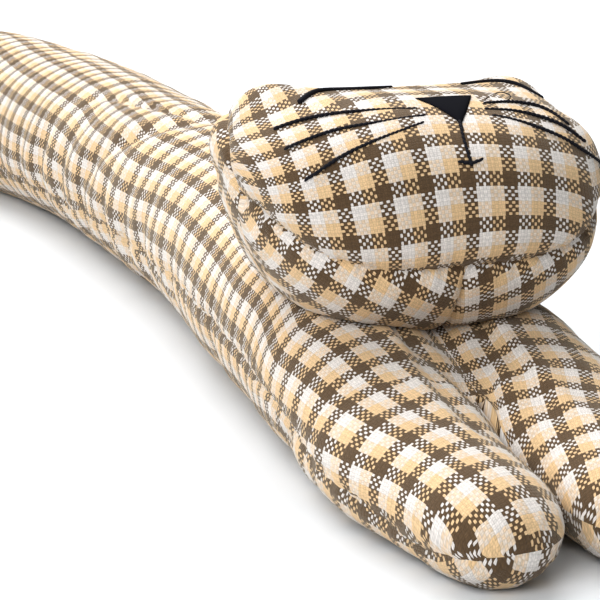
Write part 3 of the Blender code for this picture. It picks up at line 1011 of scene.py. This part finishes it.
def build_body(cloth, material):
    """Trunk and forelegs with their cloth."""
    sheet = BodySheet(cloth)
    rump_start = BODY_LENGTH - RUMP_ROUND
    leg_reaches = round_steps(PAW_ROUND, PAW_STEPS) + stations(PAW_ROUND, CROTCH_REACH)[:-1]
    rump = [BODY_LENGTH - reach for reach in reversed(round_steps(RUMP_ROUND, RUMP_STEPS))]
    trunk_reaches = stations(CROTCH_REACH, rump_start)[1:] + rump

    def trunk_ring(reach):
        sweep = float(trunk_sweep(np.array([reach]))[0])
        angles = np.linspace(-sweep, sweep, RING_STEPS + 1)
        rings = {side: sheet.ring(reach, side, angles, False) for side in (-1, 1)}
        bottom = sheet.vert((rings[-1]["points"][0] + rings[1]["points"][0]) / 2.0)
        top = sheet.vert((rings[-1]["points"][-1] + rings[1]["points"][-1]) / 2.0)
        for ring in rings.values():
            between = [sheet.vert(point) for point in ring["points"][1:-1]]
            ring["verts"] = [bottom] + between + [top]
        return rings

    crotch_sweep = float(trunk_sweep(np.array([CROTCH_REACH]))[0])
    outer = np.linspace(-crotch_sweep, crotch_sweep, RING_STEPS + 1)
    wall = np.linspace(crotch_sweep, 2.0 * math.pi - crotch_sweep, WALL_STEPS + 1)[1:]
    leg_angles = np.concatenate([outer, wall])
    crotch = trunk_ring(CROTCH_REACH)
    top, bottom = crotch[1]["verts"][-1], crotch[1]["verts"][0]
    web = [
        sheet.bm.verts.new(top.co.lerp(bottom.co, k / WALL_STEPS)) for k in range(1, WALL_STEPS)]
    for side in (-1, 1):
        rings = []
        for reach in leg_reaches:
            ring = sheet.ring(reach, side, leg_angles, True)
            verts = [sheet.vert(point) for point in ring["points"][:-1]]
            ring["verts"] = verts + verts[:1]
            rings.append(ring)
        last = sheet.ring(CROTCH_REACH, side, leg_angles, True)
        last["verts"] = crotch[side]["verts"] + web + [bottom]
        rings.append(last)
        for ring_a, ring_b in zip(rings, rings[1:]):
            sheet.strip(ring_a, ring_b)
        tip = sheet.ring(TIP_REACH, side, leg_angles, True)
        sheet.fan(rings[0], tip, sheet.vert(tip["points"].mean(axis=0)))
    rings = [crotch] + [trunk_ring(reach) for reach in trunk_reaches]
    for ring_a, ring_b in zip(rings, rings[1:]):
        for side in (-1, 1):
            sheet.strip(ring_a[side], ring_b[side])
    end_angles = np.linspace(-END_SWEEP, END_SWEEP, RING_STEPS + 1)
    end = {side: sheet.ring(BODY_LENGTH, side, end_angles, False) for side in (-1, 1)}
    end_vert = sheet.vert((end[-1]["points"].mean(axis=0) + end[1]["points"].mean(axis=0)) / 2.0)
    for side in (-1, 1):
        sheet.fan(rings[-1][side], end[side], end_vert)
    return add_piece("cat_body", sheet.bm, material)


# Cuts of the head's mesh, and the slant in degrees and radius of its side and back cloth
HEAD_CUTS = 63
BACK_BIAS = 40.0
BACK_RADIUS = 66.0
# How a place on the head is sought: steps, first guess and pace in millimetres
SPOT_STEPS = 20
SPOT_RADIUS = 60.0
SPOT_PACE = 70.0


def build_head(cloth, material):
    """Head cushion: straight check on the face panel, slanted on the others."""
    bm = bmesh.new()
    bmesh.ops.create_cube(bm, size=2.0)
    bmesh.ops.subdivide_edges(bm, edges=bm.edges, cuts=HEAD_CUTS, use_grid_fill=True)
    cube = np.array([vert.co for vert in bm.verts])
    direction = np.tan(cube * math.pi / 4.0)
    points = head_surface(direction, cloth.pucker / MM)
    rough = wrinkle(points * HEAD_WRINKLE_SCALE + HEAD_WRINKLE_START)
    points = points - points / np.linalg.norm(points, axis=-1, keepdims=True) * rough[..., None]
    place = head_place(points)
    lowest = body_top(place[..., 0], place[..., 1]) + SEAT_GAP
    under = points[..., 2] < 0.0
    place[..., 2] = np.where(under, np.maximum(place[..., 2], lowest), place[..., 2])
    u, v = head_cloth(direction, head_cloth_table())
    form = head_form(direction)
    distance = head_seam_distance(form)
    for vert, spot in zip(bm.verts, place):
        vert.co = tuple(spot * MM)
    uv = bm.loops.layers.uv.new("cloth")
    bm.verts.index_update()
    repeat = cloth.repeat / MM
    places = {
        "face": face_drape(u, v, repeat),
        "chin_left": chin_drape(u, v, 1, repeat),
        "chin_right": chin_drape(u, v, -1, repeat),
        "back": back_drape(form, repeat),
    }
    for face in bm.faces:
        ids = [vert.index for vert in face.verts]
        if distance[ids].mean() > 0.0:
            panel = "face"
        elif form[ids, 0].mean() < SIDE_SEAM_X or form[ids, 2].mean() > SIDE_SEAM_Z:
            panel = "back"
        else:
            panel = "chin_left" if form[ids, 1].mean() > 0.0 else "chin_right"
        for loop in face.loops:
            loop[uv].uv = [place[loop.vert.index] for place in places[panel]]
    return add_piece("cat_head", bm, material)


def face_drape(across, along, repeat):
    a = np.clip(across, *FACE_DRAPE_ACROSS)
    b = np.clip(along, *FACE_DRAPE_ALONG)
    u, v = (across - a) / repeat, (b - along) / repeat
    for across_power, along_power, stripes_across, stripes_along in FACE_DRAPE:
        term = (a / FACE_DRAPE_UNIT) ** across_power * (b / FACE_DRAPE_UNIT) ** along_power
        u = u + term * stripes_across
        v = v + term * stripes_along
    return u, v


def chin_drape(across, along, side, repeat):
    a, b = across / repeat, along / repeat
    u_across, u_along, u_start, v_across, v_along, v_start = CHIN_DRAPE[side]
    return a * u_across + b * u_along + u_start, a * v_across + b * v_along + v_start


def back_drape(form, repeat):
    around = np.abs(np.arctan2(form[:, 1], -form[:, 0])) * BACK_RADIUS / repeat
    up = form[:, 2] / repeat
    bias = math.radians(BACK_BIAS)
    return (around * math.cos(bias) - up * math.sin(bias),
            around * math.sin(bias) + up * math.cos(bias))


def head_spot(sideways, climb, lift):
    """World place on the head, by millimetres to the cat's left and degrees above forward."""
    a = math.radians(climb)
    spread = sideways / SPOT_RADIUS
    for _ in range(SPOT_STEPS):
        point = head_form(np.array([math.cos(a), spread, math.sin(a)]))
        spread += (sideways - point[1]) / SPOT_PACE
        a += math.radians(climb) - math.atan2(point[2], point[0])
    direction = np.array([math.cos(a), spread, math.sin(a)])
    point = head_surface(direction)
    outward = surface_normal(direction)
    return head_place(point + outward * lift) * MM, outward


def surface_normal(direction):
    """Outward normal of the head at a direction."""
    d = direction / np.linalg.norm(direction)
    first = np.cross(d, (0.0, 0.0, 1.0))
    first = first / np.linalg.norm(first)
    second = np.cross(d, first)
    step = 0.01
    along = head_form(d + first * step) - head_form(d - first * step)
    across = head_form(d + second * step) - head_form(d - second * step)
    normal = np.cross(along, across)
    return normal / np.linalg.norm(normal) * np.sign(np.dot(normal, d))


def build_nose(material):
    """Satin triangle with a turned, rounded edge, sewn flat on the face."""
    corners = (
        np.array([NOSE_TOP[0], NOSE_SIDE - NOSE_HALF_WIDTH, NOSE_TOP[1]]),
        np.array([NOSE_TOP[0], NOSE_SIDE + NOSE_HALF_WIDTH, NOSE_TOP[1]]),
        np.array([NOSE_TIP[0], NOSE_TIP_SIDE, NOSE_TIP[1]]),
    )
    bm = bmesh.new()
    layers = []
    for is_top in (False, True):
        layer = {}
        for a in range(NOSE_STEPS + 1):
            for b in range(NOSE_STEPS + 1 - a):
                c = NOSE_STEPS - a - b
                flat = (a * corners[0] + b * corners[1] + c * corners[2]) / NOSE_STEPS
                edge = min(a, b, c) / NOSE_STEPS
                swell = 1.0 - (1.0 - min(edge / NOSE_RIM_WIDTH, 1.0)) ** 2
                thickness = NOSE_THICKNESS * mix(NOSE_RIM_SHARE, 1.0, swell) if is_top else 0.0
                lift = surface_normal(flat) * (NOSE_GAP + thickness)
                place = head_place(head_surface(flat) + lift)
                layer[a, b] = bm.verts.new(tuple(place * MM))
        layers.append(layer)
    for layer in layers:
        for a in range(NOSE_STEPS):
            for b in range(NOSE_STEPS - a):
                bm.faces.new((layer[a, b], layer[a + 1, b], layer[a, b + 1]))
                if a + b < NOSE_STEPS - 1:
                    bm.faces.new((layer[a + 1, b], layer[a + 1, b + 1], layer[a, b + 1]))
    steps = range(NOSE_STEPS)
    rim = [(k, 0) for k in steps]
    rim += [(NOSE_STEPS - k, k) for k in steps] + [(0, NOSE_STEPS - k) for k in steps]
    for here, after in zip(rim, rim[1:] + rim[:1]):
        bm.faces.new((layers[0][here], layers[0][after], layers[1][after], layers[1][here]))
    return add_piece("cat_nose", bm, material)


# Embroidered lines on the head. Every point has its place to the cat's left in millimetres,
# its angle above straight ahead in degrees, and the thread's thickness there in millimetres.
LINE_COLUMNS = ("left", "climb", "thickness")
EYE_LINES = (
    ((-49.0, 77.0, 2.1), (-41.0, 88.0, 2.0), (-33.0, 93.0, 1.8), (-21.3, 93.5, 1.5),
     (-7.8, 94.0, 0.9)),
    ((22.5, 95.0, 1.0), (31.0, 99.0, 1.5), (39.0, 101.0, 1.7), (47.0, 98.5, 1.8),
     (54.8, 89.6, 1.3)),
)
WHISKER_LINES = (
    ((-62.4, 56.4, 1.5), (-44.3, 56.0, 1.4), (-30.4, 54.1, 1.4), (-11.6, 51.6, 1.3)),
    ((-62.6, 39.4, 1.2), (-45.4, 42.6, 1.4), (-28.2, 43.8, 1.3), (-10.3, 45.6, 1.2)),
    ((-58.9, 22.6, 1.2), (-46.4, 29.3, 1.4), (-34.2, 33.7, 1.3), (-22.3, 37.5, 1.2),
     (-12.5, 40.9, 1.1)),
    ((18.3, 53.4, 1.3), (32.9, 56.8, 1.4), (43.5, 55.1, 1.5), (50.4, 42.9, 1.3)),
    ((16.6, 47.8, 1.2), (29.8, 46.4, 1.4), (45.0, 40.7, 1.5), (55.2, 32.4, 1.4)),
    ((17.8, 42.9, 1.1), (27.9, 39.1, 1.3), (43.5, 32.0, 1.4), (53.1, 26.5, 1.4),
     (63.8, 21.9, 1.2)),
)
LOOSE_LINES = (
    ((19.0, 56.6, 0.4), (27.0, 68.0, 0.4), (33.0, 76.0, 0.4), (35.5, 72.0, 0.4),
     (32.0, 62.0, 0.4), (27.0, 56.3, 0.4)),
)
MOUTH_LINES = (
    ((2.2, 39.6, 1.4), (0.7, 31.1, 1.2), (0.9, 22.2, 1.3)),
    ((-2.7, 22.9, 1.2), (0.9, 22.1, 1.5), (5.1, 23.0, 1.2)),
)
# How far a thread's middle stands above the cloth, as a share of its thickness
THREAD_LIFT = 0.22


def thread_tree():
    """Geometry tree that lays slanted stitches along a path."""
    tree = bpy.data.node_groups.new("rope_stitch", "GeometryNodeTree")
    face = tree.interface
    face.new_socket("Geometry", in_out="INPUT", socket_type="NodeSocketGeometry")
    for name, default in (("Stitch Pitch", 1.9 * MM), ("Stitch Length", 2.0 * MM), ("Slant", 0.3)):
        socket = face.new_socket(name, in_out="INPUT", socket_type="NodeSocketFloat")
        socket.default_value = default
    face.new_socket("Thread Material", in_out="INPUT", socket_type="NodeSocketMaterial")
    face.new_socket("Geometry", in_out="OUTPUT", socket_type="NodeSocketGeometry")

    def add(kind, inputs=None, **settings):
        node = tree.nodes.new(kind)
        for key, value in settings.items():
            setattr(node, key, value)
        for key, value in (inputs or {}).items():
            if isinstance(value, bpy.types.NodeSocket):
                tree.links.new(value, node.inputs[key])
            else:
                node.inputs[key].default_value = value
        return node

    given = tree.nodes.new("NodeGroupInput")
    result = tree.nodes.new("NodeGroupOutput")
    path = add("GeometryNodeMeshToCurve", {"Mesh": given.outputs["Geometry"]})
    spaced = add("GeometryNodeResampleCurve", {
        "Curve": path.outputs[0], "Length": given.outputs["Stitch Pitch"]}, mode="LENGTH")
    lie = add("GeometryNodeInputNamedAttribute", {"Name": "outward"}, data_type="FLOAT_VECTOR")
    tangent = add("GeometryNodeInputTangent")
    along = add("FunctionNodeAlignRotationToVector", {"Vector": tangent.outputs[0]}, axis="X")
    stand = add("FunctionNodeAlignRotationToVector", {
        "Rotation": along.outputs[0], "Vector": lie.outputs["Attribute"]}, axis="Z", pivot_axis="X")
    turn = add("ShaderNodeCombineXYZ", {2: given.outputs["Slant"]})
    slant = add("FunctionNodeRotateRotation", {
        "Rotation": stand.outputs[0], "Rotate By": turn.outputs[0]}, rotation_space="LOCAL")
    ball = add("GeometryNodeMeshUVSphere", {"Segments": 10, "Rings": 7, "Radius": 1.0})
    smooth = add(
        "GeometryNodeSetShadeSmooth", {"Geometry": ball.outputs[0], "Shade Smooth": True})
    half_length = add(
        "ShaderNodeMath", {0: given.outputs["Stitch Length"], 1: 0.5}, operation="MULTIPLY")
    thick = add("GeometryNodeInputNamedAttribute", {"Name": "thickness"}, data_type="FLOAT")
    half_thick = add(
        "ShaderNodeMath", {0: thick.outputs["Attribute"], 1: 0.5}, operation="MULTIPLY")
    size = add("ShaderNodeCombineXYZ", {
        0: half_length.outputs[0], 1: half_thick.outputs[0], 2: half_thick.outputs[0]})
    stitches = add("GeometryNodeInstanceOnPoints", {
        "Points": spaced.outputs[0], "Instance": smooth.outputs[0],
        "Rotation": slant.outputs[0], "Scale": size.outputs[0]})
    real = add("GeometryNodeRealizeInstances", {"Geometry": stitches.outputs[0]})
    painted = add("GeometryNodeSetMaterial", {
        "Geometry": real.outputs[0], "Material": given.outputs["Thread Material"]})
    tree.links.new(painted.outputs[0], result.inputs[0])
    return tree


def smooth_path(points, per_span=8):
    """Points on a smooth curve through the given ones."""
    points = np.asarray(points, float)
    places = np.arange(len(points), dtype=float)
    fine = np.linspace(0.0, len(points) - 1.0, (len(points) - 1) * per_span + 1)
    rows = [(p, *point) for p, point in zip(places, points)]
    return np.stack([smooth_table(fine, rows, c + 1) for c in range(points.shape[1])], axis=-1)


def stitch_lines(name, lines, pitch, length, slant, material):
    """One mesh of stitches along lines on the head."""
    bm = bmesh.new()
    outward = bm.verts.layers.float_vector.new("outward")
    thickness = bm.verts.layers.float.new("thickness")
    for line in lines:
        before = None
        for left, climb, thick in smooth_path(line):
            spot, normal = head_spot(left, climb, thick * THREAD_LIFT)
            vert = bm.verts.new(tuple(spot))
            vert[outward] = Vector(normal)
            vert[thickness] = thick * MM
            if before:
                bm.edges.new((before, vert))
            before = vert
    mesh = bpy.data.meshes.new(name + "_path")
    bm.to_mesh(mesh)
    bm.free()
    path = bpy.data.objects.new(name + "_path", mesh)
    bpy.context.scene.collection.objects.link(path)
    tree = bpy.data.node_groups.get("rope_stitch") or thread_tree()
    maker = path.modifiers.new("stitches", "NODES")
    maker.node_group = tree
    sockets = {
        item.name: item.identifier for item in tree.interface.items_tree
        if item.in_out == "INPUT"}
    maker[sockets["Stitch Pitch"]] = pitch
    maker[sockets["Stitch Length"]] = length
    maker[sockets["Slant"]] = slant
    maker[sockets["Thread Material"]] = material
    graph = bpy.context.evaluated_depsgraph_get()
    made = bpy.data.meshes.new_from_object(path.evaluated_get(graph))
    bpy.data.objects.remove(path, do_unlink=True)
    return link_piece(name, made, material)


# Operators

class CAT_OT_body(bpy.types.Operator):
    """Makes the trunk and forelegs."""

    bl_idname = "cat.body"
    bl_label = "Body"

    def execute(self, context):
        cloth = context.scene.cat_cloth
        piece = build_body(cloth, material_of("check_weave", make_weave, cloth))
        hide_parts("body")
        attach(piece, "root")
        return {"FINISHED"}


class CAT_OT_head(bpy.types.Operator):
    """Makes the cushion head."""

    bl_idname = "cat.head"
    bl_label = "Head"

    def execute(self, context):
        cloth = context.scene.cat_cloth
        piece = build_head(cloth, material_of("check_weave", make_weave, cloth))
        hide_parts("head")
        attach(piece, "root")
        return {"FINISHED"}


class CAT_OT_nose(bpy.types.Operator):
    """Makes the satin nose."""

    bl_idname = "cat.nose"
    bl_label = "Nose"

    def execute(self, context):
        piece = build_nose(material_of("black_satin", make_satin, context.scene.cat_thread))
        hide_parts("nose")
        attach(piece, "root")
        return {"FINISHED"}


class CAT_OT_face_lines(bpy.types.Operator):
    """Sews the eyes, whiskers, mouth and loose end of thread."""

    bl_idname = "cat.face_lines"
    bl_label = "Embroidery"

    def execute(self, context):
        thread = context.scene.cat_thread
        material = material_of("black_thread", make_thread, thread)
        rope = (thread.stitch, thread.stitch * 1.5, math.radians(14.0))
        dense = (thread.stitch * 0.3, thread.stitch, 0.0)
        single = (0.15 * MM, 0.5 * MM, 0.0)
        sewn = (
            ("eyes", EYE_LINES, dense),
            ("whiskers", WHISKER_LINES, rope),
            ("mouth", MOUTH_LINES, rope),
            ("loose_thread", LOOSE_LINES, single),
        )
        for name, lines, (pitch, length, slant) in sewn:
            piece = stitch_lines(name, lines, pitch, length, slant, material)
            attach(piece, "root")
        return {"FINISHED"}


class CAT_OT_stage(bpy.types.Operator):
    """Sets the floor, lights and camera."""

    bl_idname = "cat.stage"
    bl_label = "Stage"

    def execute(self, context):
        build_stage(context.scene)
        return {"FINISHED"}


def build_stage(scene):
    bm = bmesh.new()
    bmesh.ops.create_grid(bm, x_segments=1, y_segments=1, size=FLOOR_SIZE)
    floor_paint = bpy.data.materials.new("pale_floor")
    Nodes(floor_paint).surface({
        "Base Color": FLOOR_COLOUR, "Roughness": 0.9, "Specular IOR Level": 0.1})
    floor = add_piece("floor", bm, floor_paint)

    world = bpy.data.worlds.new("studio")
    world.use_nodes = True
    sky = world.node_tree.nodes["Background"].inputs
    sky["Color"].default_value = SKY_COLOUR
    sky["Strength"].default_value = SKY_STRENGTH
    scene.world = world

    for name, place, target, size, power in LAMPS:
        light = bpy.data.lights.new(name, "AREA")
        light.shape = "SQUARE"
        light.size = size
        light.energy = power
        lamp = bpy.data.objects.new(name, light)
        lamp.location = place
        aim = Vector(target) - Vector(place)
        lamp.rotation_euler = aim.to_track_quat("-Z", "Y").to_euler()
        scene.collection.objects.link(lamp)

    camera = bpy.data.objects.new("camera", bpy.data.cameras.new("camera"))
    camera.data.lens = CAMERA_LENS
    camera.data.sensor_width = CAMERA_SENSOR
    camera.data.clip_start = CAMERA_CLIP
    azimuth, elevation = math.radians(CAMERA_AZIMUTH), math.radians(CAMERA_ELEVATION)
    back = Vector((
        math.sin(azimuth) * math.cos(elevation),
        -math.cos(azimuth) * math.cos(elevation),
        math.sin(elevation)))
    camera.location = Vector(CAMERA_PLACE) * MM
    camera.rotation_euler = (-back).to_track_quat("-Z", "Y").to_euler()
    scene.collection.objects.link(camera)
    scene.camera = camera
    scene.view_settings.view_transform = "Standard"


class CAT_PT_panel(bpy.types.Panel):
    """Lists the cat's sizes and pieces."""

    bl_label = "Cat Draught Excluder"
    bl_idname = "CAT_PT_panel"
    bl_space_type = "VIEW_3D"
    bl_region_type = "UI"
    bl_category = "Cat"

    def draw(self, context):
        layout = self.layout
        for group in (context.scene.cat_cloth, context.scene.cat_thread):
            for name in group.__annotations__:
                layout.prop(group, name)
        for operator in OPERATORS:
            layout.operator(operator.bl_idname)


GROUPS = {"cat_cloth": CatCloth, "cat_thread": CatThread}
OPERATORS = (CAT_OT_body, CAT_OT_head, CAT_OT_nose, CAT_OT_face_lines, CAT_OT_stage)
CLASSES = (*GROUPS.values(), *OPERATORS, CAT_PT_panel)


def register():
    for item in CLASSES:
        bpy.utils.register_class(item)
    for name, group in GROUPS.items():
        setattr(bpy.types.Scene, name, bpy.props.PointerProperty(type=group))


def unregister():
    for name in GROUPS:
        delattr(bpy.types.Scene, name)
    for item in reversed(CLASSES):
        bpy.utils.unregister_class(item)


def main():
    register()
    bpy.ops.cat.stage()
    bpy.ops.cat.body()
    bpy.ops.cat.head()
    bpy.ops.cat.nose()
    bpy.ops.cat.face_lines()


if __name__ == "__main__":
    main()
